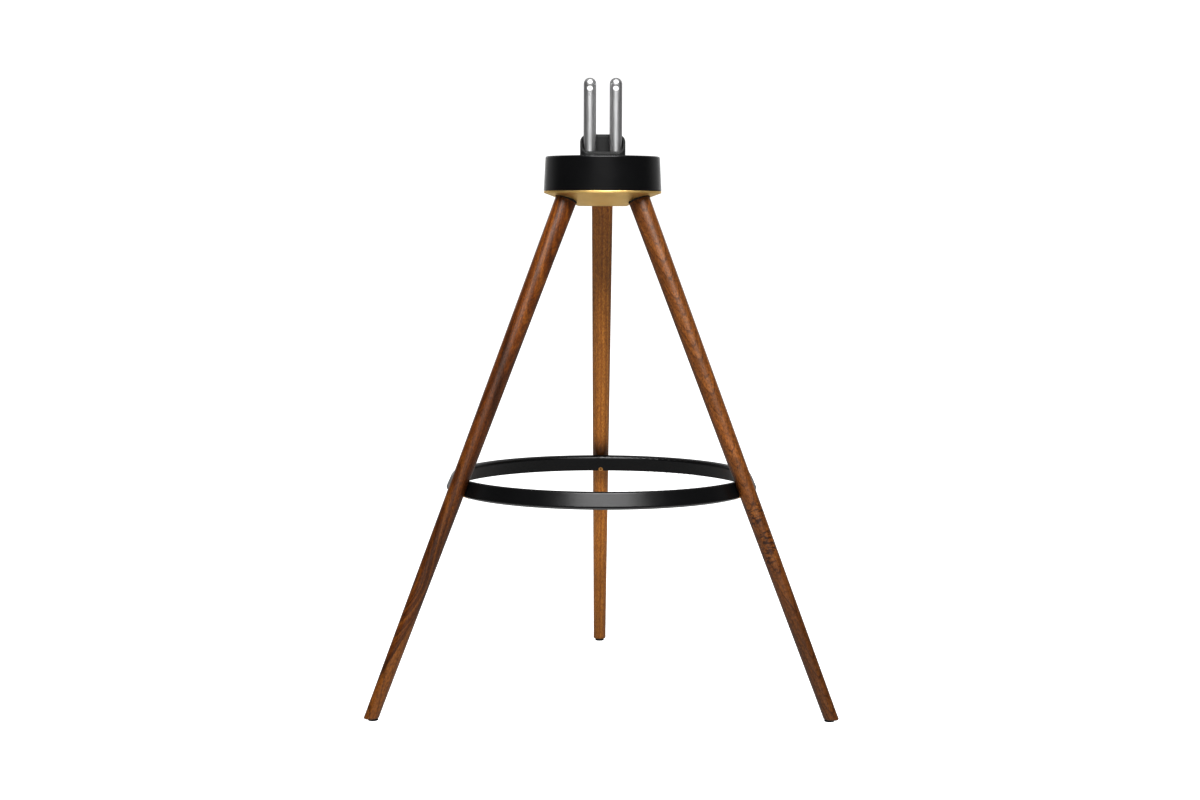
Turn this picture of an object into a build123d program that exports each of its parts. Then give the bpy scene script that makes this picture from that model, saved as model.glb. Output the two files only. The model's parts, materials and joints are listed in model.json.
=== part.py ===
from build123d import *
import math
import os

# Tripod floor stand with a swivelling twin-post head. Millimetres, +Z up, floor at z = 0.
# The front is -Y: two legs stand in front, one behind, and the posts stand side by side along X.
# Everything is modelled about the head's vertical axis and moved by AXIS_Y when it is written, so
# that the origin lies on the floor in the middle of the footprint.

# ---- driving dimensions ----
AXIS_Y = -71.7          # the head's axis, in front of the middle of the footprint
GAP = 0.05              # radial or face clearance between pieces that are bolted together
RUN = 0.05              # radial running clearance of the spindle in its bush
END_PLAY = 0.1          # axial clearance of the swivel bearing
SHANK_CLEARANCE = 0.3   # radial, where a screw only passes through
HEAD_CLEARANCE = 0.4    # radial, around a screw's head
OVER = 1.0              # how far a cutting shape runs past the face it opens
SMALL_CHAMFER = 0.5     # plain broken edges

# legs
LEG_ANGLES = {"left": 210, "right": 330, "rear": 90}
LEG_TILT = 23.25        # from the vertical
LEG_FLOOR_RADIUS = 346.5    # where the leg's axis meets the floor
LEG_FLOOR_D = 18.6      # leg diameter where its axis meets the floor
LEG_TAPER = 0.0142      # growth of the diameter per mm of leg, upwards
LEG_END_Z = 3.1         # the level cut at the foot
LEG_END_CHAMFER = 0.9
LEG_TOP_ROUND = 0.6
LEG_BORE_DEPTH = 43.0   # for the stud, from the leg's top end
LEG_SURPLUS = 20.0      # length added below the floor, before the level cut

# base casting
BASE_RIM_R = 79.5
BASE_TOP_Z = 686.6
BASE_RIM_BOTTOM_Z = 683.6
BASE_CONE_R = 78.9      # top of the cone
BASE_BOTTOM_R = 32.4
BASE_BOTTOM_Z = 666.3
SEAT_DEPTH = 1.0        # spot face for each leg, at its middle
SEAT_R = 15.1
SEAT_CUTTER = 20.0      # how far the spot facer reaches below the seat
LEG_BOSS_R = 12.0
LEG_BOSS_LENGTH = 28.0
LIP_R = (73.2, 75.6)    # locating lip inside the shell
LIP_TOP_Z = 690.0
LIP_ROOT = 2.0          # how deep the lip stands in the casting
BASE_ROUND = 0.6
BORE_BOSS_R = 28.0
BORE_BOSS_TOP_Z = 693.0
BORE_BOSS_ROOT_Z = 671.3
NUT_RECESS_R = 22.0
NUT_RECESS_TOP_Z = 678.0
POCKET_FLOOR_Z = 674.5
POCKET_FLOOR_R = 34.0
POCKET_R = 63.0
POCKET_SHELF_Z = 685.6

# gaskets and studs
GASKET_R = 14.9
GASKET_THICKNESS = 2.4
STUD_R = 5.0
STUD_WOOD_R = 4.5
STUD_UP = 22.0          # above the seat
STUD_DOWN = 42.0        # below the seat
STUD_CHAMFER = 0.8
STUD_POINT = 1.5
STUD_TAP_SPARE = 2.0    # tapped depth past the stud's end
GASKET_ROUND = 0.5

# swivel bearing
SPINDLE_R = 12.5
SPINDLE_THREAD_R = 10.0
SPINDLE_END_Z = 669.3
SPINDLE_SHOULDER_Z = 675.9
SPINDLE_FLANGE_R = 29.0
SPINDLE_FLANGE_T = 6.0
SPINDLE_CHAMFER = 0.8
BUSH_R = 15.0
THRUST_UPPER_R = (13.2, 27.0)
THRUST_LOWER_R = (13.2, 20.0)
THRUST_T = 2.0
SPINDLE_WASHER_R = 19.5
SPINDLE_WASHER_T = 2.3
NUT_ACROSS_FLATS = 30.0
NUT_T = 4.4
CAP_T = 2.0
CAP_SKIRT_T = 1.6
CAP_SKIRT_TOP_Z = 672.5
CAP_CHAMFER = 0.4

# head: carrier plate, shell, collar, posts
HEAD_BOTTOM_Z = 687.0
HEAD_TOP_Z = 733.0
SHELL_BOTTOM_R = 79.6
SHELL_TOP_R = 77.2
SHELL_WALL = 2.5
SHELL_ROUND = 2.6
SHELL_LOW_ROUND = 0.5
SHELL_BOSS_R = 5.0
SHELL_TAP_SKIN = 1.2    # left above the bosses' tapped holes
CARRIER_R = 62.0
CARRIER_BOSS_R = 29.0
CARRIER_BOSS_Z = 701.0
CARRIER_DISC_Z = 711.0
CARRIER_TOP_Z = 725.0
SHELL_SCREW_CIRCLE_R = 54.0
SHELL_SCREW_ANGLES = (30, 150, 270)
SHELL_SCREW_SEAT = 6.0  # below the carrier's top
SHELL_SCREW_LENGTH = 11.5
SPINDLE_SCREW_CIRCLE_R = 22.0
SPINDLE_SCREW_ANGLES = (45, 135, 225, 315)
SPINDLE_SCREW_LENGTH = 14.0
SPINDLE_TAP_DEPTH = 10.0

COLLAR_SIZE = (61.2, 27.0)
COLLAR_CORNER_R = 10.8
COLLAR_WALL = 3.4
COLLAR_FRONT_Z = 737.2  # the 45 degree cut's height at the front of the collar
COLLAR_FLANGE = (74.0, 46.0)
COLLAR_FLANGE_R = 12.0
COLLAR_SCREWS = (24.0, 18.3)
COLLAR_SCREW_LENGTH = 14.0
COLLAR_TAP_DEPTH = 11.0
COLLAR_RIM_ROUND = 0.7

POST_R = 8.5
POST_SPACING = 35.0
POST_TOP_Z = 838.4
POST_SPIGOT_R = 6.0
POST_SPIGOT_LENGTH = 8.0
POST_THREAD_DEPTH = 22.0
POST_BOLT_SEAT = 8.0    # above the carrier's underside
POST_BOLT_LENGTH = 24.0
CROSS_HOLE_R = 4.0
CROSS_HOLE_DROP = 14.0  # from the post's top
CROSS_HOLE_CHAMFER = 0.4

# spreader ring
RING_THICKNESS = 10.5
RING_WIDTH = 22.6
RING_TOP_ROUND = 4.0
RING_LOW_ROUND = 1.8
RING_CENTRE_Z = 292.8
RING_SADDLE = 0.3       # how deep the ring sits in each leg
NOTCH_R = 3.4
NOTCH_HEIGHT = 3.0      # notch centre above the ring's lower edge
INSERT_R = 3.5
INSERT_LENGTH = 12.0
RING_SCREW_HEAD_R = 3.2
RING_SCREW_R = 2.0
RING_SCREW_REACH = 14.0
RING_SCREW_SOCKET = 3.0     # across flats
RING_SCREW_INSET = 0.3      # how far its head stays inside the band
RING_SCREW_RECESS = 0.15    # radial clearance of the head in the leg
INSERT_INSET = 0.3
INSERT_SPARE = 0.5      # bore depth past the insert's end

# feet
FOOT_R = 6.5
FOOT_ROUND = 0.7
FOOT_INBOARD = 3.0      # pad centre, inboard of the middle of the leg's end
FOOT_SCREW_R = 1.6
FOOT_SCREW_HEAD_R = 3.1
FOOT_SCREW_TOP_Z = 24.0
FOOT_SCREW_POINT = 1.2
FOOT_HEAD_ROUND = 0.5
FOOT_HEAD_CLEARANCE = 0.2
FOOT_HEAD_Z = (1.0, 2.2)

# fasteners, (shank radius, head radius, head height, socket across flats)
M8_CAP = (4.0, 6.5, 7.6, 6.0)
M4_CAP = (2.0, 3.5, 4.0, 3.0)
M4_COUNTERSUNK = (2.0, 3.7, 1.7, 2.5)
M5_COUNTERSUNK = (2.5, 4.6, 2.1, 3.0)
CAP_HEAD_CHAMFER = 0.4
POINT_CHAMFER = 0.5
HEAD_LAND = 0.3         # cylindrical edge of a countersunk head
SOCKET_SHARE = 0.8      # depth of a countersunk head's socket, in head heights

# ---- worked out ----
TAN_TILT = math.tan(math.radians(LEG_TILT))
COS_TILT = math.cos(math.radians(LEG_TILT))
SIN_TILT = math.sin(math.radians(LEG_TILT))
HALF_TAPER = math.degrees(math.atan(LEG_TAPER / 2))
RING_SLANT = LEG_TILT + HALF_TAPER      # the ring's band lies along the legs' inner sides
CONE_SLOPE = (BASE_RIM_BOTTOM_Z - BASE_BOTTOM_Z) / (BASE_CONE_R - BASE_BOTTOM_R)


def axis_radius(z):
    """Distance from the head's axis to a leg's axis at height z."""
    return LEG_FLOOR_RADIUS - TAN_TILT * z


def leg_radius(z):
    """A leg's radius where its axis is at height z."""
    return (LEG_FLOOR_D + LEG_TAPER * z / COS_TILT) / 2


def cone_meets_axis():
    """Height at which a leg's axis pierces the casting's cone."""
    return (BASE_BOTTOM_Z + CONE_SLOPE * (LEG_FLOOR_RADIUS - BASE_BOTTOM_R)) / (1 + CONE_SLOPE * TAN_TILT)


SEAT_Z = cone_meets_axis() + SEAT_DEPTH * COS_TILT
LEG_TOP_Z = SEAT_Z - GASKET_THICKNESS * COS_TILT


def on_leg_axis(z):
    """Frame on a leg's axis at height z, its Z up along the axis. The leg leans out along +X."""
    return Plane(
        origin=(axis_radius(z), 0, z),
        x_dir=(COS_TILT, 0, SIN_TILT),
        z_dir=(-SIN_TILT, 0, COS_TILT),
    )


def ring_frame(along=0.0):
    """Frame in the ring's section on a leg's side: Z points out through the band into the leg,
    Y points up along the band, and along moves the frame up the band."""
    slant = math.radians(RING_SLANT)
    out = (math.cos(slant), 0, math.sin(slant))
    up = (-math.sin(slant), 0, math.cos(slant))
    depth = leg_radius(RING_CENTRE_Z) - RING_SADDLE + RING_THICKNESS / 2
    axis_z = RING_CENTRE_Z + depth * math.sin(slant)
    centre_r = axis_radius(axis_z) - depth * math.cos(slant)
    origin = (centre_r + along * up[0], 0, RING_CENTRE_Z + along * up[2])
    return Plane(origin=origin, x_dir=(0, 1, 0), z_dir=out)


def tube(outer, inner, low, high):
    """Plain ring or washer about the head's axis."""
    body = Cylinder(outer, high - low, align=(Align.CENTER, Align.CENTER, Align.MIN))
    bore = Cylinder(inner, high - low, align=(Align.CENTER, Align.CENTER, Align.MIN))
    return Pos(0, 0, low) * (body - bore)


def rod(radius, low, high):
    """Solid round bar about Z, from low to high."""
    return Pos(0, 0, low) * Cylinder(radius, high - low, align=(Align.CENTER, Align.CENTER, Align.MIN))


def half_space(z, align_z):
    """Large block whose lowest or highest face is at height z."""
    side = 2.5 * BASE_RIM_R
    return Pos(0, 0, z) * Box(side, side, side / 2, align=(Align.CENTER, Align.CENTER, align_z))


def turned(points):
    """Solid of revolution about Z from an outline of (radius, height) points."""
    outline = Polyline(*[(r, 0, z) for r, z in points], close=True)
    return revolve(make_face(outline), Axis.Z, 360)


def around(angles, radius, shape):
    """Copies of a shape on a circle about the head's axis."""
    return [Rot(0, 0, a) * Pos(radius, 0, 0) * shape for a in angles]


def three_legs(shape):
    """The shape's copies at the three legs, by leg name."""
    return {name: Rot(0, 0, angle) * shape for name, angle in LEG_ANGLES.items()}


def hexagon(across_flats, low, high):
    side = RegularPolygon(across_flats / 2, 6, major_radius=False)
    return Pos(0, 0, low) * extrude(side, high - low)


def cap_screw(size, length):
    """Socket-head screw, the head below z = 0 and the shank above it."""
    shank_r, head_r, head_h, socket = size
    head = rod(head_r, -head_h, 0)
    head = chamfer(head.edges().group_by(Axis.Z)[0], CAP_HEAD_CHAMFER)
    shank = rod(shank_r, 0, length)
    shank = chamfer(shank.edges().group_by(Axis.Z)[-1], POINT_CHAMFER)
    return head + shank - hexagon(socket, -head_h, -head_h / 2)


def countersunk_screw(size, length):
    """Countersunk screw, the flat of the head at z = 0 and the point at z = length."""
    shank_r, head_r, head_h, socket = size
    body = turned([(0, 0), (head_r, 0), (head_r, HEAD_LAND), (shank_r, HEAD_LAND + head_h),
                   (shank_r, length - POINT_CHAMFER), (shank_r - POINT_CHAMFER, length), (0, length)])
    return body - hexagon(socket, 0, head_h * SOCKET_SHARE)


def countersink(size, length):
    """The hole a countersunk screw sits in."""
    shank_r, head_r, head_h, _ = size
    land = HEAD_LAND + GAP
    return turned([(0, -OVER), (head_r + GAP, -OVER), (head_r + GAP, land), (shank_r + GAP, land + head_h),
                   (shank_r + GAP, length), (0, length)])


def plan(size, corner_r, low, high):
    """Upright prism with a rounded rectangular plan."""
    return Pos(0, 0, low) * extrude(RectangleRounded(*size, corner_r), high - low)


# ---- head ----
def make_posts():
    """Round posts with domed tops, a spigot below and a cross hole near the top."""
    dome_z = POST_TOP_Z - POST_R
    post = rod(POST_R, CARRIER_TOP_Z, dome_z) + Pos(0, 0, dome_z) * Sphere(POST_R)
    post += rod(POST_SPIGOT_R, CARRIER_TOP_Z - POST_SPIGOT_LENGTH, CARRIER_TOP_Z)
    low = CARRIER_TOP_Z - POST_SPIGOT_LENGTH
    post -= rod(M8_CAP[0] + GAP, low, low + POST_THREAD_DEPTH)
    hole = Rot(90, 0, 0) * Cylinder(CROSS_HOLE_R, 4 * POST_R)
    post -= Pos(0, 0, POST_TOP_Z - CROSS_HOLE_DROP) * hole
    hole_edge = 2 * math.pi * CROSS_HOLE_R
    above = POST_TOP_Z - CROSS_HOLE_DROP - OVER
    mouth = [e for e in post.edges() if e.center().Z > above and e.length < 1.2 * hole_edge]
    post = chamfer(mouth, CROSS_HOLE_CHAMFER)
    half = POST_SPACING / 2
    return {"post_left": Pos(-half, 0, 0) * post, "post_right": Pos(half, 0, 0) * post}


def make_collar():
    """Sleeve around the foot of the posts, cut off at 45 degrees, with a flange under the shell."""
    inner = (COLLAR_SIZE[0] - 2 * COLLAR_WALL, COLLAR_SIZE[1] - 2 * COLLAR_WALL)
    rear_z = COLLAR_FRONT_Z + COLLAR_SIZE[1]
    sleeve = plan(COLLAR_SIZE, COLLAR_CORNER_R, CARRIER_TOP_Z, rear_z + OVER)
    inside = plan(inner, COLLAR_CORNER_R - COLLAR_WALL, CARRIER_TOP_Z - OVER, rear_z + 2 * OVER)
    middle_z = (COLLAR_FRONT_Z + rear_z) / 2
    sleeve = sleeve - inside - Pos(0, 0, middle_z) * Rot(45, 0, 0) * half_space(0, Align.MIN)
    cut_edges = sleeve.edges().filter_by(lambda e: e.center().Z > COLLAR_FRONT_Z - OVER)
    slanted = cut_edges.filter_by(lambda e: abs(e.tangent_at(0.5).Z) < 0.9)
    sleeve = fillet(slanted, COLLAR_RIM_ROUND)
    flange_top = HEAD_TOP_Z - SHELL_WALL
    flange = plan(COLLAR_FLANGE, COLLAR_FLANGE_R, CARRIER_TOP_Z, flange_top)
    collar = sleeve + (flange - inside)
    for x, y in collar_screw_points():
        collar -= Pos(x, y, flange_top) * Rot(180, 0, 0) * countersink(M4_COUNTERSUNK, COLLAR_SCREW_LENGTH)
    return collar


def collar_screw_points():
    return [(sx * COLLAR_SCREWS[0], sy * COLLAR_SCREWS[1]) for sx in (-1, 1) for sy in (-1, 1)]


def make_collar_screws():
    """Four countersunk screws from the flange down into the carrier."""
    screw = Rot(180, 0, 0) * countersunk_screw(M4_COUNTERSUNK, COLLAR_SCREW_LENGTH)
    top = HEAD_TOP_Z - SHELL_WALL - GAP
    return [Pos(x, y, top) * screw for x, y in collar_screw_points()]


def make_shell():
    """Round cover with a slight draft, open below, with three screw bosses under its top."""
    inside_top = HEAD_TOP_Z - SHELL_WALL
    shell = turned([(0, HEAD_TOP_Z), (SHELL_TOP_R, HEAD_TOP_Z), (SHELL_BOTTOM_R, HEAD_BOTTOM_Z),
                    (SHELL_BOTTOM_R - SHELL_WALL, HEAD_BOTTOM_Z), (SHELL_TOP_R - SHELL_WALL, inside_top),
                    (0, inside_top)])
    rim = shell.edges().filter_by(GeomType.CIRCLE).sort_by(Axis.Z)
    top_edge = rim.group_by(Axis.Z)[-1]
    shell = fillet(top_edge, SHELL_ROUND)
    low_edges = shell.edges().filter_by(GeomType.CIRCLE).group_by(Axis.Z)[0]
    shell = fillet(low_edges, SHELL_LOW_ROUND)
    stud = rod(SHELL_BOSS_R, CARRIER_TOP_Z, inside_top)
    for boss in around(SHELL_SCREW_ANGLES, SHELL_SCREW_CIRCLE_R, stud):
        shell += boss
    tapped = rod(M4_CAP[0] + GAP, CARRIER_TOP_Z - OVER, HEAD_TOP_Z - SHELL_TAP_SKIN)
    for hole in around(SHELL_SCREW_ANGLES, SHELL_SCREW_CIRCLE_R, tapped):
        shell -= hole
    opening = (COLLAR_SIZE[0] + 4 * GAP, COLLAR_SIZE[1] + 4 * GAP)
    shell -= plan(opening, COLLAR_CORNER_R + 2 * GAP, inside_top - OVER, HEAD_TOP_Z + OVER)
    return shell


def make_shell_screws():
    """Three cap screws from under the carrier up into the shell's bosses."""
    screw = Pos(0, 0, CARRIER_TOP_Z - SHELL_SCREW_SEAT) * cap_screw(M4_CAP, SHELL_SCREW_LENGTH)
    return around(SHELL_SCREW_ANGLES, SHELL_SCREW_CIRCLE_R, screw)


def make_carrier():
    """Stepped plate that holds the posts, the collar and the shell, and sits on the spindle."""
    carrier = rod(CARRIER_R, CARRIER_DISC_Z, CARRIER_TOP_Z)
    carrier += rod(CARRIER_BOSS_R, CARRIER_BOSS_Z, CARRIER_DISC_Z)
    carrier = chamfer(carrier.edges().filter_by(GeomType.CIRCLE), SMALL_CHAMFER)
    spigot_z = CARRIER_TOP_Z - POST_SPIGOT_LENGTH - GAP
    bolt_seat_z = CARRIER_BOSS_Z + POST_BOLT_SEAT
    for side in (-1, 1):
        x = side * POST_SPACING / 2
        spigot = rod(POST_SPIGOT_R + GAP, spigot_z, CARRIER_TOP_Z + OVER)
        shank = rod(M8_CAP[0] + HEAD_CLEARANCE, CARRIER_BOSS_Z - OVER, CARRIER_TOP_Z)
        head = rod(M8_CAP[1] + HEAD_CLEARANCE, CARRIER_BOSS_Z - OVER, bolt_seat_z)
        carrier -= Pos(x, 0, 0) * (spigot + shank + head)
    for x, y in collar_screw_points():
        depth_z = CARRIER_TOP_Z - COLLAR_TAP_DEPTH
        carrier -= Pos(x, y, 0) * rod(M4_COUNTERSUNK[0] + GAP, depth_z, CARRIER_TOP_Z + OVER)
    shank = rod(M4_CAP[0] + SHANK_CLEARANCE, CARRIER_DISC_Z - OVER, CARRIER_TOP_Z + OVER)
    head = rod(M4_CAP[1] + HEAD_CLEARANCE, CARRIER_DISC_Z - OVER, CARRIER_TOP_Z - SHELL_SCREW_SEAT)
    for hole in around(SHELL_SCREW_ANGLES, SHELL_SCREW_CIRCLE_R, shank + head):
        carrier -= hole
    tapped = rod(M5_COUNTERSUNK[0] + GAP, CARRIER_BOSS_Z - OVER, CARRIER_BOSS_Z + SPINDLE_TAP_DEPTH)
    for hole in around(SPINDLE_SCREW_ANGLES, SPINDLE_SCREW_CIRCLE_R, tapped):
        carrier -= hole
    return carrier


def make_post_bolts():
    """Two cap screws from under the carrier up into the posts."""
    bolt = Pos(0, 0, CARRIER_BOSS_Z + POST_BOLT_SEAT) * cap_screw(M8_CAP, POST_BOLT_LENGTH)
    return [Pos(side * POST_SPACING / 2, 0, 0) * bolt for side in (-1, 1)]


def make_spindle():
    """Flanged spindle that turns in the bush, with a threaded lower end."""
    flange_z = CARRIER_BOSS_Z - SPINDLE_FLANGE_T
    spindle = turned([(0, CARRIER_BOSS_Z), (SPINDLE_FLANGE_R, CARRIER_BOSS_Z), (SPINDLE_FLANGE_R, flange_z),
                      (SPINDLE_R, flange_z), (SPINDLE_R, SPINDLE_SHOULDER_Z),
                      (SPINDLE_THREAD_R, SPINDLE_SHOULDER_Z),
                      (SPINDLE_THREAD_R, SPINDLE_END_Z + SPINDLE_CHAMFER),
                      (SPINDLE_THREAD_R - SPINDLE_CHAMFER, SPINDLE_END_Z), (0, SPINDLE_END_Z)])
    sunk = countersink(M5_COUNTERSUNK, SPINDLE_FLANGE_T + OVER)
    for hole in around(SPINDLE_SCREW_ANGLES, SPINDLE_SCREW_CIRCLE_R, sunk):
        spindle -= Pos(0, 0, flange_z) * hole
    return spindle


def make_spindle_screws():
    """Four countersunk screws from under the spindle's flange up into the carrier."""
    screw = countersunk_screw(M5_COUNTERSUNK, SPINDLE_SCREW_LENGTH)
    flange_z = CARRIER_BOSS_Z - SPINDLE_FLANGE_T + GAP
    return [Pos(0, 0, flange_z) * s for s in around(SPINDLE_SCREW_ANGLES, SPINDLE_SCREW_CIRCLE_R, screw)]


# ---- base ----
def make_casting():
    """Conical base that carries the legs: spot faces below, bosses and the bearing's bore above."""
    step = (BASE_RIM_R - BASE_CONE_R) / 2
    casting = turned([(0, BASE_TOP_Z), (BASE_RIM_R, BASE_TOP_Z), (BASE_RIM_R, BASE_RIM_BOTTOM_Z + step),
                      (BASE_CONE_R, BASE_RIM_BOTTOM_Z), (BASE_BOTTOM_R, BASE_BOTTOM_Z), (0, BASE_BOTTOM_Z)])
    rim = casting.edges().filter_by(GeomType.CIRCLE).group_by(Axis.Z)
    casting = fillet(rim[-1] + rim[0], BASE_ROUND)
    pocket_top = BORE_BOSS_TOP_Z + OVER
    casting -= turned([(BORE_BOSS_R, POCKET_FLOOR_Z), (POCKET_FLOOR_R, POCKET_FLOOR_Z),
                       (POCKET_R, POCKET_SHELF_Z), (POCKET_R, pocket_top), (BORE_BOSS_R, pocket_top)])
    casting += tube(LIP_R[1], LIP_R[0], BASE_TOP_Z - LIP_ROOT, LIP_TOP_Z)
    casting += rod(BORE_BOSS_R, BORE_BOSS_ROOT_Z, BORE_BOSS_TOP_Z)
    boss = on_leg_axis(SEAT_Z) * rod(LEG_BOSS_R, 0, LEG_BOSS_LENGTH)
    seat = on_leg_axis(SEAT_Z) * rod(SEAT_R, -SEAT_CUTTER, 0)
    tapped = on_leg_axis(SEAT_Z) * rod(STUD_R + GAP, -OVER, STUD_UP + STUD_TAP_SPARE)
    for part in three_legs(boss).values():
        casting += part
    for part in three_legs(seat + tapped).values():
        casting -= part
    casting -= rod(BUSH_R + GAP, BASE_BOTTOM_Z - OVER, BORE_BOSS_TOP_Z + OVER)
    casting -= rod(NUT_RECESS_R, BASE_BOTTOM_Z - OVER, NUT_RECESS_TOP_Z)
    return casting


def make_bearing():
    """Bush, thrust washers, steel washer and nut of the swivel, and the cap that closes the bore."""
    flange_z = CARRIER_BOSS_Z - SPINDLE_FLANGE_T
    washer_low = SPINDLE_SHOULDER_Z - SPINDLE_WASHER_T
    thread = rod(SPINDLE_THREAD_R + GAP, washer_low - NUT_T - OVER, washer_low + OVER)
    nut = hexagon(NUT_ACROSS_FLATS, washer_low - NUT_T, washer_low) - thread
    upper_top = flange_z - END_PLAY
    lower_z = NUT_RECESS_TOP_Z - THRUST_T
    cap = rod(NUT_RECESS_R - GAP, BASE_BOTTOM_Z, BASE_BOTTOM_Z + CAP_T)
    cap = chamfer(cap.edges().group_by(Axis.Z)[0], CAP_CHAMFER)
    skirt_r = NUT_RECESS_R - GAP
    cap += tube(skirt_r, skirt_r - CAP_SKIRT_T, BASE_BOTTOM_Z + CAP_T, CAP_SKIRT_TOP_Z)
    return {
        "spindle_bush": tube(BUSH_R, SPINDLE_R + RUN, NUT_RECESS_TOP_Z, BORE_BOSS_TOP_Z),
        "upper_thrust_washer": tube(THRUST_UPPER_R[1], THRUST_UPPER_R[0], BORE_BOSS_TOP_Z, upper_top),
        "lower_thrust_washer": tube(THRUST_LOWER_R[1], THRUST_LOWER_R[0], lower_z, NUT_RECESS_TOP_Z),
        "spindle_washer": tube(SPINDLE_WASHER_R, SPINDLE_THREAD_R + GAP, washer_low, SPINDLE_SHOULDER_Z),
        "spindle_nut": nut,
        "bottom_cap": cap,
    }


# ---- legs ----
def make_leg():
    """Tapered round leg: square-cut top, level foot, a shallow saddle for the ring, and bores."""
    length = LEG_TOP_Z / COS_TILT + LEG_SURPLUS
    top_r = leg_radius(LEG_TOP_Z)
    low_r = top_r - LEG_TAPER * length / 2
    leg = Cone(low_r, top_r, length, align=(Align.CENTER, Align.CENTER, Align.MAX))
    leg = fillet(leg.edges().group_by(Axis.Z)[-1], LEG_TOP_ROUND)
    leg -= rod(STUD_WOOD_R + GAP, -LEG_BORE_DEPTH, OVER)
    leg = on_leg_axis(LEG_TOP_Z) * leg
    leg -= Pos(LEG_FLOOR_RADIUS, 0, 0) * half_space(LEG_END_Z, Align.MAX)
    leg = chamfer(leg.edges().group_by(Axis.Z)[0], LEG_END_CHAMFER)
    leg -= ring_band(RING_THICKNESS + 2 * GAP, RING_WIDTH + 2 * GAP)
    leg -= insert_frame() * rod(RING_SCREW_HEAD_R + RING_SCREW_RECESS, -4 * OVER, 0)
    leg -= insert_frame() * rod(INSERT_R + GAP, -OVER, INSERT_LENGTH + INSERT_SPARE)
    leg -= insert_frame() * rod(RING_SCREW_R + GAP, 0, RING_SCREW_REACH + OVER)
    leg -= Pos(foot_radius(), 0, 0) * rod(FOOT_SCREW_R + GAP, 0, FOOT_SCREW_TOP_Z + OVER)
    return leg


def make_stud():
    """Hanger bolt: machine thread up into the casting, wood thread down into the leg."""
    upper = rod(STUD_R, -GASKET_THICKNESS, STUD_UP)
    upper = chamfer(upper.edges().group_by(Axis.Z)[-1], STUD_CHAMFER)
    lower = rod(STUD_WOOD_R, -STUD_DOWN, -GASKET_THICKNESS)
    lower = chamfer(lower.edges().group_by(Axis.Z)[0], STUD_POINT)
    return on_leg_axis(SEAT_Z) * (upper + lower)


def make_gasket():
    """Soft washer between the leg's square end and its seat."""
    gasket = tube(GASKET_R, STUD_R + SHANK_CLEARANCE, -GASKET_THICKNESS, 0)
    outer = gasket.edges().filter_by(GeomType.CIRCLE).sort_by(SortBy.RADIUS)[-2:]
    gasket = fillet(outer, GASKET_ROUND)
    return on_leg_axis(SEAT_Z) * gasket


def foot_radius():
    """Distance of a foot pad's centre from the head's axis."""
    return axis_radius(LEG_END_Z) - FOOT_INBOARD


def make_foot():
    """Round pad under the leg, recessed for its screw."""
    pad = rod(FOOT_R, 0, LEG_END_Z)
    pad = fillet(pad.edges().group_by(Axis.Z)[0], FOOT_ROUND)
    pad -= rod(FOOT_SCREW_HEAD_R + FOOT_HEAD_CLEARANCE, -OVER, FOOT_HEAD_Z[1])
    pad -= rod(FOOT_SCREW_R + GAP, -OVER, LEG_END_Z + OVER)
    return Pos(foot_radius(), 0, 0) * pad


def make_foot_screw():
    head = rod(FOOT_SCREW_HEAD_R, *FOOT_HEAD_Z)
    head = fillet(head.edges().group_by(Axis.Z)[0], FOOT_HEAD_ROUND)
    shank = rod(FOOT_SCREW_R, FOOT_HEAD_Z[1], FOOT_SCREW_TOP_Z)
    shank = chamfer(shank.edges().group_by(Axis.Z)[-1], FOOT_SCREW_POINT)
    return Pos(foot_radius(), 0, 0) * (head + shank)


# ---- spreader ring ----
def ring_band(thickness, width):
    """Conical band about the head's axis: a bar with rounded edges leaning with the legs, revolved."""
    centre = ring_frame().origin
    bar = Rectangle(thickness, width)
    bar = fillet(bar.vertices().group_by(Axis.Y)[-1], RING_TOP_ROUND)
    bar = fillet(bar.vertices().group_by(Axis.Y)[0], RING_LOW_ROUND)
    upright = Plane(origin=(centre.X, 0, centre.Z), x_dir=(1, 0, 0), z_dir=(0, -1, 0))
    return revolve(upright * Rot(0, 0, RING_SLANT) * bar, Axis.Z, 360)


def notch_frame():
    """Frame at the notch's centre, Z out through the band."""
    return ring_frame(NOTCH_HEIGHT - RING_WIDTH / 2)


def insert_frame():
    """Frame at the mouth of a leg's insert, on the saddle's face, Z into the leg."""
    frame = notch_frame()
    return frame.offset(RING_THICKNESS / 2 + GAP)


def make_ring():
    """The band with a half-round notch in its lower edge at each leg."""
    ring = ring_band(RING_THICKNESS, RING_WIDTH)
    depth = 3 * RING_THICKNESS
    arch = Cylinder(NOTCH_R, depth)
    throat = Box(2 * NOTCH_R, RING_WIDTH, depth, align=(Align.CENTER, Align.MAX, Align.CENTER))
    for cut in three_legs(notch_frame() * (arch + throat)).values():
        ring -= cut
    return ring


def make_ring_screw():
    """Brass cap screw whose head fills the notch and bears on the leg."""
    size = (RING_SCREW_R, RING_SCREW_HEAD_R, RING_THICKNESS - RING_SCREW_INSET, RING_SCREW_SOCKET)
    screw = cap_screw(size, RING_SCREW_REACH)
    return insert_frame().offset(-GAP) * screw


def make_insert():
    """Threaded insert in the leg."""
    return insert_frame() * tube(INSERT_R, RING_SCREW_R + GAP, INSERT_INSET, INSERT_LENGTH)


def write(name, shape):
    """Move one node into the stand's frame and write it."""
    solids = shape if isinstance(shape, list) else [shape]
    placed = [s.moved(Location((0, AXIS_Y, 0))) for s in solids]
    node = placed[0] if len(placed) == 1 else Compound(children=placed)
    node.label = name
    export_step(node, f"parts/{name}.step")


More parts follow.
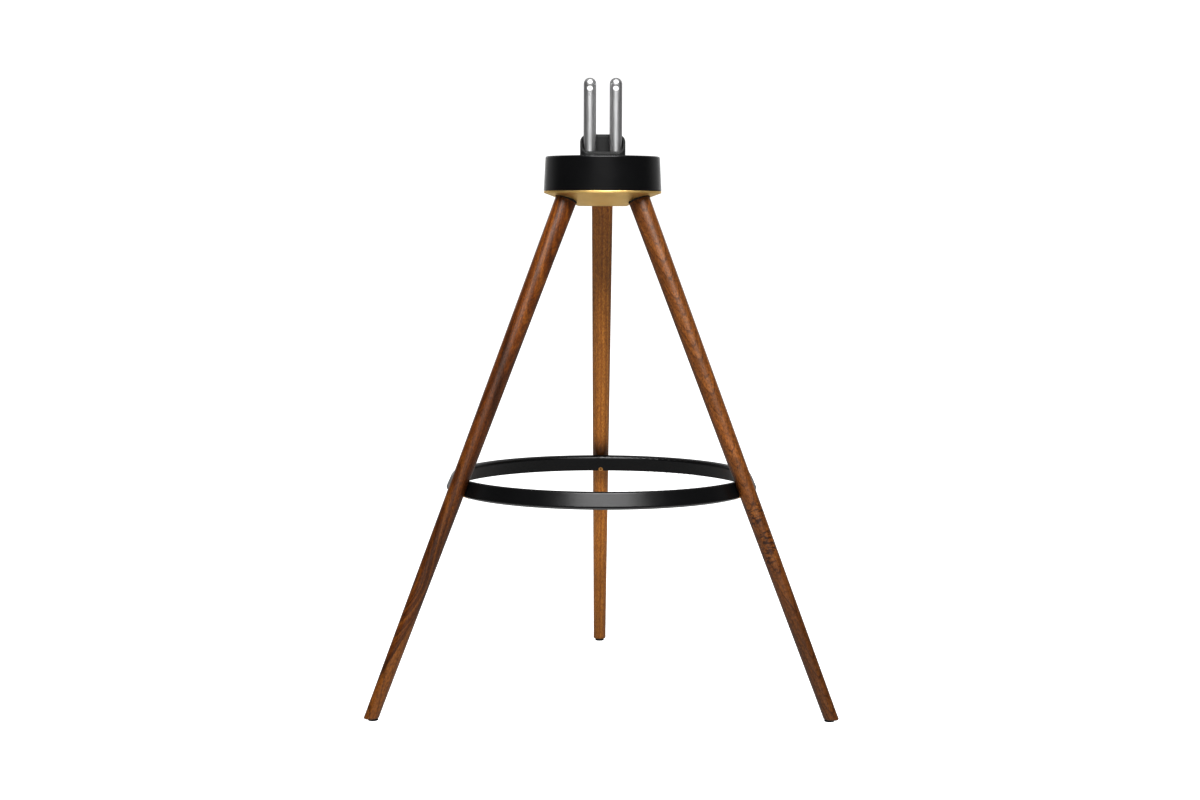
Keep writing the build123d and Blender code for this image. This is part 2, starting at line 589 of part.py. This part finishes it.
def main():
    os.makedirs("parts", exist_ok=True)
    nodes = {
        "hub_shell": make_shell(),
        "post_collar": make_collar(),
        "collar_screws": make_collar_screws(),
        "post_carrier": make_carrier(),
        "post_bolts": make_post_bolts(),
        "shell_screws": make_shell_screws(),
        "swivel_spindle": make_spindle(),
        "spindle_screws": make_spindle_screws(),
        "base_casting": make_casting(),
        "spreader_ring": make_ring(),
        "ring_screws": list(three_legs(make_ring_screw()).values()),
        "ring_inserts": list(three_legs(make_insert()).values()),
        "foot_screws": list(three_legs(make_foot_screw()).values()),
    }
    nodes.update(make_posts())
    nodes.update(make_bearing())
    per_leg = {
        "leg": make_leg(),
        "leg_stud": make_stud(),
        "leg_gasket": make_gasket(),
        "foot_pad": make_foot(),
    }
    for kind, shape in per_leg.items():
        for leg, placed in three_legs(shape).items():
            nodes[f"{kind}_{leg}"] = placed
    for name, shape in nodes.items():
        write(name, shape)


main()
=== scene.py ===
"""The looks of a walnut tripod floor stand with a turning black head and two steel posts.

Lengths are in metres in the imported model's frame: +Z up, the front towards -Y, the origin on the floor.
In a leg's own frame they are in millimetres, with Z up the leg from its foot.
"""

import json
import math

import bpy
from mathutils import Matrix, Vector


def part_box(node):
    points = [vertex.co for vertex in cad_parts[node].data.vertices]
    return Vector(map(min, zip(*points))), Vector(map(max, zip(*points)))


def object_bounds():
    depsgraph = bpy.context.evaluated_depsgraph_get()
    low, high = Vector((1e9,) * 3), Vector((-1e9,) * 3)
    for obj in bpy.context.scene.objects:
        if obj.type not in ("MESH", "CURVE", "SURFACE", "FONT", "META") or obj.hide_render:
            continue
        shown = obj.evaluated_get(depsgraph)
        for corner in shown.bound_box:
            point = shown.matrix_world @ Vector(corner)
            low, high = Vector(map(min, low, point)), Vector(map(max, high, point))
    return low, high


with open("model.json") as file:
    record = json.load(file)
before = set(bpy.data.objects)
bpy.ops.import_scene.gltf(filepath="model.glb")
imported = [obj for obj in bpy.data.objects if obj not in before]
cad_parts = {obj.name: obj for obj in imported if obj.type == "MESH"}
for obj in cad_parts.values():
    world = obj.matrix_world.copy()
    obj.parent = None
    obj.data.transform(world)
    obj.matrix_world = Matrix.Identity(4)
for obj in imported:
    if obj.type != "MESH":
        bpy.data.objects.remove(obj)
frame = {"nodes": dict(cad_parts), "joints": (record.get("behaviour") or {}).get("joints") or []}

CAD_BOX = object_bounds()
NODES = frame["nodes"]
HEAD_AXIS = Vector(frame["joints"][0]["pos_m"])
MM = 0.001

# ---------------------------------------------------------------- camera

CAMERA_LENS = 62.57
CAMERA_SENSOR = 36.0
CAMERA_DISTANCE = 2.833
CAMERA_HEIGHT = 0.6579
CAMERA_SIDE = -0.0168
CAMERA_DOWN = math.radians(5.141)
CAMERA_ROLL = math.radians(0.217)
CAMERA_TURN = math.radians(-0.291)
CAMERA_CLIP_END = 100.0

# ---------------------------------------------------------------- light

WHITE = (1.0, 1.0, 1.0, 1.0)

# The studio's brightness in each direction. Each span is where it changes, on a direction's Y or Z.
WORLD_SIDE = 0.02
WORLD_FRONT = 0.55
WORLD_FRONT_SPAN = (-0.86, -0.99)
WORLD_BACK = 0.52
WORLD_BACK_SPAN = (0.10, 0.60)
WORLD_BACKDROP = 0.70
WORLD_BACKDROP_SPAN = (0.80, 0.97)
WORLD_TOP = 0.04
WORLD_TOP_SPAN = (0.45, 0.95)
WORLD_SHOWN = 1.0

FLOOR_SIZE = 60.0
FLOOR_COLOUR = (0.45, 0.45, 0.45, 1.0)
FLOOR_GLOW = 1.0

# Each light: its place, width, height and power in watts. It shines at the middle of the stand.
LIGHTS = {
    "front_box": ((0.10, -2.2, 2.9), 2.4, 1.4, 232.0),
}

# ---------------------------------------------------------------- node graphs

# Most of a noise pattern's values lie between these.
NOISE_SPAN = (0.3, 0.7)


class Graph:
    """The nodes of one material or world. Most calls add nodes and return the last one's output."""

    def __init__(self, tree):
        self.tree = tree

    def put(self, socket, value):
        """Links a socket to another, or sets its plain value."""
        if isinstance(value, bpy.types.NodeSocket):
            self.tree.links.new(value, socket)
        else:
            socket.default_value = value

    def add(self, kind, inputs, output=0, **settings):
        node = self.tree.nodes.new("ShaderNode" + kind)
        for name, value in settings.items():
            setattr(node, name, value)
        for name, value in inputs.items():
            self.put(node.inputs[name], value)
        return node.outputs[output]

    def math(self, operation, *values):
        return self.add("Math", dict(enumerate(values)), operation=operation)

    def place(self, vector, location, rotation, scale):
        """The vector seen from a frame at that location, turned and scaled."""
        inputs = {"Vector": vector, "Location": location, "Rotation": rotation, "Scale": scale}
        return self.add("Mapping", inputs, vector_type="TEXTURE")

    def squares(self, first, second):
        """The sum of two squares."""
        return self.math("ADD", self.math("POWER", first, 2.0), self.math("POWER", second, 2.0))

    def brighten(self, rgb, factor):
        return self.add("VectorMath", {0: rgb, "Scale": factor}, operation="SCALE")

    def noise(self, vector, scale, detail, roughness, distortion=0.0):
        inputs = {"Vector": vector, "Scale": scale, "Detail": detail}
        inputs.update({"Roughness": roughness, "Distortion": distortion})
        return self.add("TexNoise", inputs)

    def noise_along(self, position, scale, detail, roughness):
        """Noise that changes with one value only."""
        inputs = {"W": position, "Scale": scale, "Detail": detail, "Roughness": roughness}
        return self.add("TexNoise", inputs, noise_dimensions="1D")

    def streaky(self, vector, scales, detail, roughness, distortion=0.0):
        """Noise with its own scale along each axis."""
        stretched = self.add("VectorMath", {0: vector, 1: scales}, operation="MULTIPLY")
        return self.noise(stretched, 1.0, detail, roughness, distortion)

    def fade(self, value, low, high, to_low=0.0, to_high=1.0):
        """Goes smoothly from to_low, where value is low, to to_high, where it is high."""
        inputs = {0: value, 1: low, 2: high, 3: to_low, 4: to_high}
        return self.add("MapRange", inputs, interpolation_type="SMOOTHSTEP")

    def spread(self, noise, low=0.0, high=1.0):
        """Spreads a noise pattern from low to high."""
        return self.fade(noise, *NOISE_SPAN, low, high)

    def mix(self, share, first, second, blend="MIX"):
        inputs = {0: share, 6: first, 7: second}
        return self.add("Mix", inputs, 2, data_type="RGBA", blend_type=blend)

    def ramp(self, value, *stops):
        """Colours along a value, each stop a place and a colour."""
        node = self.tree.nodes.new("ShaderNodeValToRGB")
        elements = node.color_ramp.elements
        while len(elements) < len(stops):
            elements.new(0.5)
        for element, (place, rgba) in zip(elements, stops):
            element.position = place
            element.color = rgba
        self.put(node.inputs[0], value)
        return node.outputs[0]

    def split(self, vector):
        node = self.tree.nodes.new("ShaderNodeSeparateXYZ")
        self.put(node.inputs[0], vector)
        return node.outputs


class Finish(Graph):
    """One surface material."""

    def __init__(self, name, **values):
        self.material = bpy.data.materials.new(name)
        self.material.use_nodes = True
        super().__init__(self.material.node_tree)
        self.shader = self.tree.nodes["Principled BSDF"]
        self.here = self.add("TexCoord", {}, "Object")
        for socket, value in values.items():
            self.set(socket.replace("_", " "), value)

    def set(self, socket, value):
        self.put(self.shader.inputs[socket], value)

    def bump(self, height, depth):
        self.set("Normal", self.add("Bump", {"Height": height, "Distance": depth}))


def colour(red, green, blue):
    """A colour given as a screen shows it, from 0 to 255, as the linear colour that the nodes take."""
    levels = [value / 255 for value in (red, green, blue)]
    linear = [v / 12.92 if v <= 0.04045 else ((v + 0.055) / 1.055) ** 2.4 for v in levels]
    return (*linear, 1.0)


# ---------------------------------------------------------------- wood

# The patterns of the wood: noise with its cycles for each millimetre across, behind and up the leg, then
# its detail and roughness.
WAVES = ((0.03, 0.03, 0.006), 3.0, 0.55)
FIBRES = ((1.1, 1.1, 0.05), 4.0, 0.65)
FLECKS = ((0.55, 0.55, 0.26), 3.0, 0.7)
PORES = ((2.2, 2.2, 0.30), 2.0, 0.5)
CLOUDS = ((0.05, 0.05, 0.012), 3.0, 0.5)
SAP_WANDER = ((0.08, 0.08, 0.010), 2.0, 0.5)
KNOTS = ((0.06, 0.06, 0.05), 2.0, 0.5)
RIPPLES = ((0.09, 0.09, 0.24), 3.0, 0.6)
RIPPLE_SWIRL = 1.0
YEARS_DETAIL = 3.0
YEARS_ROUGHNESS = 0.6

# The values of the noise over which each pattern comes in.
FIBRE_SPAN = (0.35, 0.75)
PORE_SPAN = (0.56, 0.68)
CLOUD_SPAN = (0.25, 0.75)
RIPPLE_SPAN = (0.44, 0.60)
KNOT_SPAN = (0.30, 0.50)

# Where the late wood darkens in a year's growth, from 0 to 1.
LATE_WOOD = (0.78, 0.97)

# The values of the years' noise at which the dark, middle and light tones lie.
TONE_PLACES = (0.30, 0.50, 0.70)

# How strong the patterns are.
FIBRE_SHARE = 0.5
PORE_SHARE = 0.55
RIPPLE_SHARE = 0.92
CLOUD_FACTORS = (0.85, 1.15)

# Where a streak starts to fade and where it is gone, as the square of the way out to its edge.
STREAK_EDGE = (0.1, 1.0)

# The surface: how rough it is, how high the fibres stand for each depth of the pores, and that depth.
WOOD_ROUGHNESS = (0.32, 0.44)
FIBRE_HEIGHT = 0.35
GRAIN_DEPTH = 0.03 * MM

# Heights up a leg. Each pair is where a change starts and where it is full.
LEG_SPAN = 800.0
LINE_CHANGE = (160.0, 230.0)
CURLY_FOOT = (180.0, 225.0)
CURLY_HEAD = (312.0, 285.0)
# The next two pairs bound the painted shade just above the ring.
PAINTED_SHADE_FOOT = (314.0, 322.0)
PAINTED_SHADE_HEAD = (368.0, 334.0)

# The painted shade above the ring comes in between these distances from the leg's axis towards the ring.
PAINTED_SHADE_REACH = (-6.0, 8.0)
# The colour of the painted shade above the ring.
PAINTED_SHADE_TONE = (40, 17, 2)
CURLY_TONE = (38, 17, 8)

# Sapwood: where its edge crosses the leg, how that edge leans and wanders, and how a dark rim and then
# the pale wood come in, both measured across from the edge.
SAP_HEIGHT = 113.0
SAP_SLOPE = 0.18
SAP_ACROSS = 2.5
SAP_DRIFT = 5.0
SAP_RIM_START = -6.0
SAP_RIM_SHARE = 0.6
SAP_RIM_TONE = (50, 24, 5)
SAP_START = -1.0
SAP_FULL = 1.5
SAP_SHARE = 0.9
SAP_TONE = (128, 77, 27)


def leg_frame(side):
    """The foot of a leg's axis, and its turn: local Z runs up the leg, and local -Y faces the front."""
    low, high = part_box(f"foot_pad_{side}")
    foot = (low + high) / 2
    low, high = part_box(f"leg_gasket_{side}")
    along = ((low + high) / 2 - foot).normalized()
    across = Vector((0, 1, 0)).cross(along).normalized()
    back = along.cross(across)
    turn = Matrix((across, back, along)).transposed().to_euler()
    return foot, turn


def pith_distance(wood, leg, style):
    """How far each point lies from the tree's centre, with slow waves along the trunk."""
    x, y, z = wood.split(leg)
    lean_x, lean_y = style["lean"]
    pith_x, pith_y = style["pith"]
    shift, *heights = style["sweep"]
    drift = wood.math("MULTIPLY_ADD", z, lean_x, wood.fade(z, *heights, 0.0, shift))
    off_x = wood.math("SUBTRACT", wood.math("SUBTRACT", x, drift), pith_x)
    off_y = wood.math("SUBTRACT", y, wood.math("MULTIPLY_ADD", z, lean_y, pith_y))
    straight = wood.math("SQRT", wood.squares(off_x, off_y))
    return wood.math("MULTIPLY_ADD", wood.streaky(leg, *WAVES), style["wave"], straight)


def streak_factor(wood, x, z, across, up, slope, wide, long, factor):
    """How much a long streak lightens or darkens the wood. Its middle is across and up the leg, it
    leans by its slope, and it fades out half its width and half its length from there."""
    off_z = wood.math("SUBTRACT", z, up)
    middle = wood.math("MULTIPLY_ADD", off_z, slope, across)
    off_x = wood.math("DIVIDE", wood.math("SUBTRACT", x, middle), wide / 2)
    off_z = wood.math("DIVIDE", off_z, long / 2)
    return wood.fade(wood.squares(off_x, off_z), *STREAK_EDGE, factor, 1.0)


def tone_and_painted_light(wood, z, levels):
    """Grey that follows a table of heights up the leg and how bright the wood is there: partly the wood's
    own tone, partly painted light and shade along the leg.
    """
    stops = [(height / LEG_SPAN, (level, level, level, 1.0)) for height, level in levels]
    return wood.ramp(wood.math("DIVIDE", z, LEG_SPAN), *stops)


def painted_shade_share(wood, leg, ring_side, share):
    """Painted shade just above the ring, on the side that faces it, where the ring keeps light from the
    floor off the leg.
    """
    x, y, z = wood.split(leg)
    ring_x, ring_y = ring_side
    inward = wood.math("MULTIPLY_ADD", x, ring_x, wood.math("MULTIPLY", y, ring_y))
    above = wood.math("MULTIPLY", wood.fade(z, *PAINTED_SHADE_FOOT), wood.fade(z, *PAINTED_SHADE_HEAD))
    return wood.math("MULTIPLY", wood.math("MULTIPLY", above, wood.fade(inward, *PAINTED_SHADE_REACH)), share)


def pale_edge(wood, leg, tone):
    """Sapwood at the lower end of the board, its dark-rimmed edge slanting across the leg."""
    x, _, z = wood.split(leg)
    slant = wood.math("MULTIPLY_ADD", z, -SAP_SLOPE, x)
    across = wood.math("MULTIPLY_ADD", wood.streaky(leg, *SAP_WANDER), SAP_DRIFT, slant)
    edge = SAP_ACROSS - SAP_SLOPE * SAP_HEIGHT
    rim = wood.fade(across, edge + SAP_RIM_START, edge, 0.0, SAP_RIM_SHARE)
    pale = wood.fade(across, edge + SAP_START, edge + SAP_FULL, 0.0, SAP_SHARE)
    return wood.mix(pale, wood.mix(rim, tone, colour(*SAP_RIM_TONE)), colour(*SAP_TONE))


def curly(wood, leg, tone):
    """Curly figure: dark ripples across the grain, below the ring."""
    _, _, z = wood.split(leg)
    ripples = wood.streaky(leg, *RIPPLES, RIPPLE_SWIRL)
    knots = wood.streaky(leg, *KNOTS)
    zone = wood.math("MULTIPLY", wood.fade(z, *CURLY_FOOT), wood.fade(z, *CURLY_HEAD))
    blotch = wood.math("MULTIPLY", wood.fade(ripples, *RIPPLE_SPAN), wood.fade(knots, *KNOT_SPAN))
    share = wood.math("MULTIPLY", wood.math("MULTIPLY", zone, blotch), RIPPLE_SHARE)
    return wood.mix(share, tone, colour(*CURLY_TONE))


def walnut(side, style):
    """Walnut turned from one board."""
    wood = Finish(f"walnut_{side}", Specular_IOR_Level=style["gloss"])
    foot, turn = leg_frame(side)
    leg = wood.place(wood.here, foot, turn, (MM, MM, MM))
    x, _, z = wood.split(leg)

    # The years of growth: broad bands of tone, and a dark line where each year ends.
    age = pith_distance(wood, leg, style)
    years = wood.noise_along(age, 1.0 / style["year"], YEARS_DETAIL, YEARS_ROUGHNESS)
    late = wood.fade(wood.math("FRACT", wood.math("DIVIDE", age, style["year"])), *LATE_WOOD)
    upper, lower = style["line"]
    late = wood.math("MULTIPLY", late, wood.fade(z, *LINE_CHANGE, lower, upper))

    # Long fibres, and the short dark pores that lie along them.
    fibre = wood.streaky(leg, *FIBRES)
    pore = wood.fade(wood.streaky(leg, *PORES), *PORE_SPAN)

    *tones, line = (colour(*tone) for tone in style["tones"])
    dark = tones[0]
    tone = wood.ramp(years, *zip(TONE_PLACES, tones))
    if "sapwood" in style:
        tone = style["sapwood"](wood, leg, tone)
    tone = wood.mix(wood.fade(fibre, *FIBRE_SPAN, 0.0, FIBRE_SHARE), tone, dark)
    tone = wood.mix(late, tone, line)
    if "figure" in style:
        tone = style["figure"](wood, leg, tone)
    tone = wood.mix(wood.math("MULTIPLY", pore, PORE_SHARE), tone, line)
    tone = wood.brighten(tone, wood.spread(wood.streaky(leg, *FLECKS), *style["fleck"]))
    tone = wood.brighten(tone, wood.fade(wood.streaky(leg, *CLOUDS), *CLOUD_SPAN, *CLOUD_FACTORS))
    for streak in style["streaks"]:
        tone = wood.brighten(tone, streak_factor(wood, x, z, *streak))
    # Brightness up the leg: partly the wood's own tone, partly painted light and shade.
    tone = wood.mix(1.0, tone, tone_and_painted_light(wood, z, style["levels"]), "MULTIPLY")
    # Painted shade just above the ring, standing in for the ring keeping floor light off the leg.
    painted_shade = painted_shade_share(wood, leg, style["ring_side"], style["painted_shade"])
    wood.set("Base Color", wood.mix(painted_shade, tone, colour(*PAINTED_SHADE_TONE)))

    wood.set("Roughness", wood.spread(fibre, *WOOD_ROUGHNESS))
    wood.bump(wood.math("SUBTRACT", wood.math("MULTIPLY", fibre, FIBRE_HEIGHT), pore), GRAIN_DEPTH)
    return wood.material


# Each leg's style, with lengths and heights in millimetres in the leg's own frame:
#   pith       where the tree's centre lies beside the foot, across and behind the leg's axis
#   lean       how far the pith drifts across and back for each millimetre up the leg
#   sweep      how far the pith is shifted across at the foot, and the heights where that starts and ends
#   year       how thick a year's growth is
#   wave       how far slow waves along the trunk shift the years
#   tones      the wood's dark, middle and light tones, and its lines' tone, as colour takes them
#   line       how strong the late wood's lines are, above and below the change of height
#   fleck      how much flecks darken and lighten the wood
#   gloss      how much the surface reflects
#   streaks    long streaks, each as streak_factor takes it
#   levels     heights up the leg, and how bright the wood is there, partly its own tone and partly painted light and shade
#   ring_side  which way the ring's middle lies, across and behind the leg's axis
#   painted_shade  how strong the painted shade above the ring is
#   sapwood, figure  the functions that add them to the tone
WOODS = {
    "left": {
        "pith": (70.0, 14.0),
        "lean": (-0.15, 0.01),
        "sweep": (-46.0, 200.0, 60.0),
        "year": 6.0,
        "wave": 6.0,
        "tones": ((62, 30, 5), (90, 47, 10), (120, 70, 20), (42, 19, 2)),
        "line": (0.30, 0.55),
        "fleck": (0.66, 1.36),
        "gloss": 0.38,
        "streaks": (
            (-1.0, 480.0, -0.16, 11.0, 190.0, 0.55),
            (4.0, 215.0, -0.02, 30.0, 120.0, 0.85),
        ),
        "levels": (
            (0, 0.66), (90, 0.86), (170, 0.70), (300, 0.62), (450, 0.86), (590, 1.0), (715, 1.08),
        ),
        "ring_side": (0.87, 0.5),
        "painted_shade": 0.6,
        "sapwood": pale_edge,
    },
    "right": {
        "pith": (30.0, 38.0),
        "lean": (-0.08, 0.12),
        "sweep": (-50.0, 300.0, 60.0),
        "year": 3.2,
        "wave": 7.0,
        "tones": ((92, 53, 19), (104, 61, 24), (116, 71, 30), (48, 23, 8)),
        "line": (0.56, 0.66),
        "fleck": (0.60, 1.42),
        "gloss": 0.38,
        "streaks": (
            (0.0, 390.0, -0.22, 9.0, 110.0, 1.45),
            (1.0, 640.0, -0.03, 12.0, 130.0, 1.22),
        ),
        "levels": (
            (0, 0.52), (100, 0.54), (164, 0.64), (236, 0.88), (300, 0.84), (450, 0.90), (715, 0.90),
        ),
        "ring_side": (-0.87, 0.5),
        "painted_shade": 0.8,
        "figure": curly,
    },
    "rear": {
        "pith": (-80.0, 20.0),
        "lean": (0.006, 0.004),
        "sweep": (0.0, 200.0, 100.0),
        "year": 2.6,
        "wave": 6.0,
        "tones": ((150, 92, 32), (170, 109, 43), (184, 123, 52), (108, 60, 18)),
        "line": (0.16, 0.16),
        "fleck": (0.66, 1.36),
        "gloss": 0.34,
        "streaks": (
            (0.0, 440.0, 0.0, 16.0, 420.0, 1.12),
        ),
        "levels": (
            (0, 0.64), (60, 0.80), (130, 0.92), (262, 0.98), (396, 0.80), (564, 0.82), (707, 0.84),
        ),
        "ring_side": (0.0, -1.0),
        "painted_shade": 0.9,
    },
}

# ---------------------------------------------------------------- metal, plastic and rubber

# How much rougher or smoother plastic and turned metal are in places.
PLASTIC_WEAR = (-0.05, 0.06)
TURNED_WEAR = (-0.05, 0.05)
MARK_SHADE = 0.8


def powder_coat():
    """Satin black powder coat: a fine orange peel, with faint handling marks in its gloss."""
    coat = Finish("satin_black_coat", Base_Color=(0.004, 0.004, 0.0043, 1.0), Specular_IOR_Level=0.25)
    peel = coat.noise(coat.here, scale=900.0, detail=3.0, roughness=0.55)
    marks = coat.noise(coat.here, scale=22.0, detail=4.0, roughness=0.6)
    coat.set("Roughness", coat.spread(marks, low=0.28, high=0.33))
    coat.bump(peel, depth=0.02 * MM)
    return coat.material


def grained_plastic(name, rgba, roughness, grain):
    """Moulded plastic or rubber with a fine spark-eroded grain."""
    plastic = Finish(name, Base_Color=rgba, Specular_IOR_Level=0.3)
    spark = plastic.noise(plastic.here, grain, detail=3.0, roughness=0.6)
    worn = plastic.noise(plastic.here, scale=30.0, detail=4.0, roughness=0.6)
    smooth, rough = (roughness + change for change in PLASTIC_WEAR)
    plastic.set("Roughness", plastic.spread(worn, smooth, rough))
    plastic.bump(spark, depth=0.05 * MM)
    return plastic.material


def satin_steel():
    """Drawn stainless bar, brushed along its length, with a tint that darkens it at shallow angles."""
    steel = Finish("satin_stainless", Metallic=1.0, Specular_Tint=(0.1, 0.1, 0.1, 1.0))
    lines = steel.streaky(steel.here, scales=(4200.0, 4200.0, 40.0), detail=3.0, roughness=0.6)
    cloud = steel.noise(steel.here, scale=60.0, detail=3.0, roughness=0.5)
    dull = (0.60, 0.60, 0.605, 1.0)
    bright = (0.71, 0.71, 0.71, 1.0)
    cloudiness = 0.06
    steel.set("Base Color", steel.mix(steel.spread(lines), dull, bright))
    rough = steel.spread(lines, low=0.30, high=0.40)
    steel.set("Roughness", steel.math("MULTIPLY_ADD", cloud, cloudiness, rough))
    steel.bump(lines, depth=0.006 * MM)
    return steel.material


def gold_anodise():
    """Champagne gold on a bead-blasted casting."""
    gold = Finish("champagne_gold_satin", Metallic=1.0)
    blast = gold.noise(gold.here, scale=1500.0, detail=3.0, roughness=0.6)
    cloud = gold.noise(gold.here, scale=35.0, detail=3.0, roughness=0.5)
    dull = (0.77, 0.53, 0.20, 1.0)
    bright = (0.85, 0.59, 0.23, 1.0)
    gold.set("Base Color", gold.mix(gold.spread(cloud), dull, bright))
    gold.set("Roughness", gold.spread(blast, low=0.40, high=0.50))
    gold.bump(blast, depth=0.02 * MM)
    return gold.material


def turned_metal(name, rgba, roughness):
    """Plated or bright metal with fine machining marks."""
    metal = Finish(name, Metallic=1.0)
    marks = metal.streaky(metal.here, scales=(300.0, 300.0, 3500.0), detail=2.0, roughness=0.6)
    red, green, blue, _ = rgba
    darker = (red * MARK_SHADE, green * MARK_SHADE, blue * MARK_SHADE, 1.0)
    metal.set("Base Color", metal.mix(metal.spread(marks), darker, rgba))
    smooth, rough = (roughness + change for change in TURNED_WEAR)
    metal.set("Roughness", metal.spread(marks, smooth, rough))
    metal.bump(marks, depth=0.01 * MM)
    return metal.material


def dress_nodes():
    """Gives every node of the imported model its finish: a leg by its side, and the rest by their slot."""
    black = (0.014, 0.014, 0.014, 1.0)
    carrier = (0.020, 0.020, 0.022, 1.0)
    acetal = (0.72, 0.71, 0.66, 1.0)
    finishes = {
        "satin_black": powder_coat(),
        "black_plastic": grained_plastic("matte_black_plastic", black, roughness=0.42, grain=1800.0),
        "carrier_black": grained_plastic("carrier_coat", carrier, roughness=0.50, grain=1200.0),
        "bearing_plastic": grained_plastic("acetal_white", acetal, roughness=0.42, grain=2500.0),
        "black_rubber": grained_plastic("black_rubber_grain", black, roughness=0.74, grain=1500.0),
        "stainless": satin_steel(),
        "champagne_gold": gold_anodise(),
        "brass": turned_metal("turned_brass", (0.74, 0.40, 0.14, 1.0), roughness=0.38),
        "zinc_steel": turned_metal("zinc_plated_steel", (0.56, 0.57, 0.60, 1.0), roughness=0.34),
    }
    for side, style in WOODS.items():
        finishes[side] = walnut(side, style)
    for name, node in NODES.items():
        slot = node.material_slots[0]
        kind = slot.material.name.split(".")[0]
        slot.material = finishes[name.removeprefix("leg_") if kind == "walnut" else kind]


# ---------------------------------------------------------------- the studio


def make_world():
    """A studio that is bright behind, dimmer in front, and dark at the sides and above. The camera sees
    it white."""
    world = bpy.data.worlds.new("studio")
    bpy.context.scene.world = world
    world.use_nodes = True
    sky = Graph(world.node_tree)
    background = world.node_tree.nodes["Background"]
    background.inputs["Color"].default_value = WHITE
    _, y, z = sky.split(sky.add("TexCoord", {}, "Generated"))
    front = sky.fade(y, *WORLD_FRONT_SPAN, WORLD_SIDE, WORLD_FRONT)
    back = sky.fade(y, *WORLD_BACK_SPAN, 0.0, WORLD_BACK)
    backdrop = sky.fade(y, *WORLD_BACKDROP_SPAN, 0.0, WORLD_BACKDROP)
    top = sky.fade(z, *WORLD_TOP_SPAN, 0.0, WORLD_TOP)
    strength = sky.math("ADD", sky.math("ADD", front, top), sky.math("ADD", back, backdrop))
    seen = sky.add("LightPath", {}, "Is Camera Ray")
    shown = sky.add("Mix", {0: seen, 2: strength, 3: WORLD_SHOWN}, 0)
    sky.put(background.inputs["Strength"], shown)


def make_floor():
    """A matt pale floor that shows white to the camera."""
    bpy.ops.mesh.primitive_plane_add(size=FLOOR_SIZE)
    floor = bpy.context.object
    floor.name = "studio_floor"
    paint = Finish("studio_floor_paint", Base_Color=FLOOR_COLOUR, Specular_IOR_Level=0.0)
    paint.set("Roughness", 1.0)
    paint.set("Emission Color", WHITE)
    seen = paint.add("LightPath", {}, "Is Camera Ray")
    paint.set("Emission Strength", paint.math("MULTIPLY", seen, FLOOR_GLOW))
    floor.data.materials.append(paint.material)


def make_lights():
    middle = (Vector(CAD_BOX[0]) + Vector(CAD_BOX[1])) / 2
    for name, (place, width, height, power) in LIGHTS.items():
        data = bpy.data.lights.new(name, "AREA")
        data.shape = "RECTANGLE"
        data.size = width
        data.size_y = height
        data.energy = power
        light = bpy.data.objects.new(name, data)
        light.location = place
        light.rotation_euler = (middle - light.location).to_track_quat("-Z", "Y").to_euler()
        light.visible_camera = False
        bpy.context.scene.collection.objects.link(light)


def make_camera():
    data = bpy.data.cameras.new("camera")
    data.lens = CAMERA_LENS
    data.sensor_width = CAMERA_SENSOR
    data.clip_end = CAMERA_CLIP_END
    camera = bpy.data.objects.new("camera", data)
    turn = Matrix.Rotation(CAMERA_TURN, 4, "Z")
    tilt = Matrix.Rotation(math.pi / 2 - CAMERA_DOWN, 4, "X")
    roll = Matrix.Rotation(CAMERA_ROLL, 4, "Z")
    place = Matrix.Translation((CAMERA_SIDE, HEAD_AXIS.y - CAMERA_DISTANCE, CAMERA_HEIGHT))
    camera.matrix_world = place @ turn @ tilt @ roll
    bpy.context.scene.collection.objects.link(camera)
    bpy.context.scene.camera = camera


make_camera()
make_world()
make_floor()
make_lights()
dress_nodes()
bpy.context.scene.view_settings.view_transform = "Standard"
bpy.context.scene.view_settings.look = "Medium High Contrast"
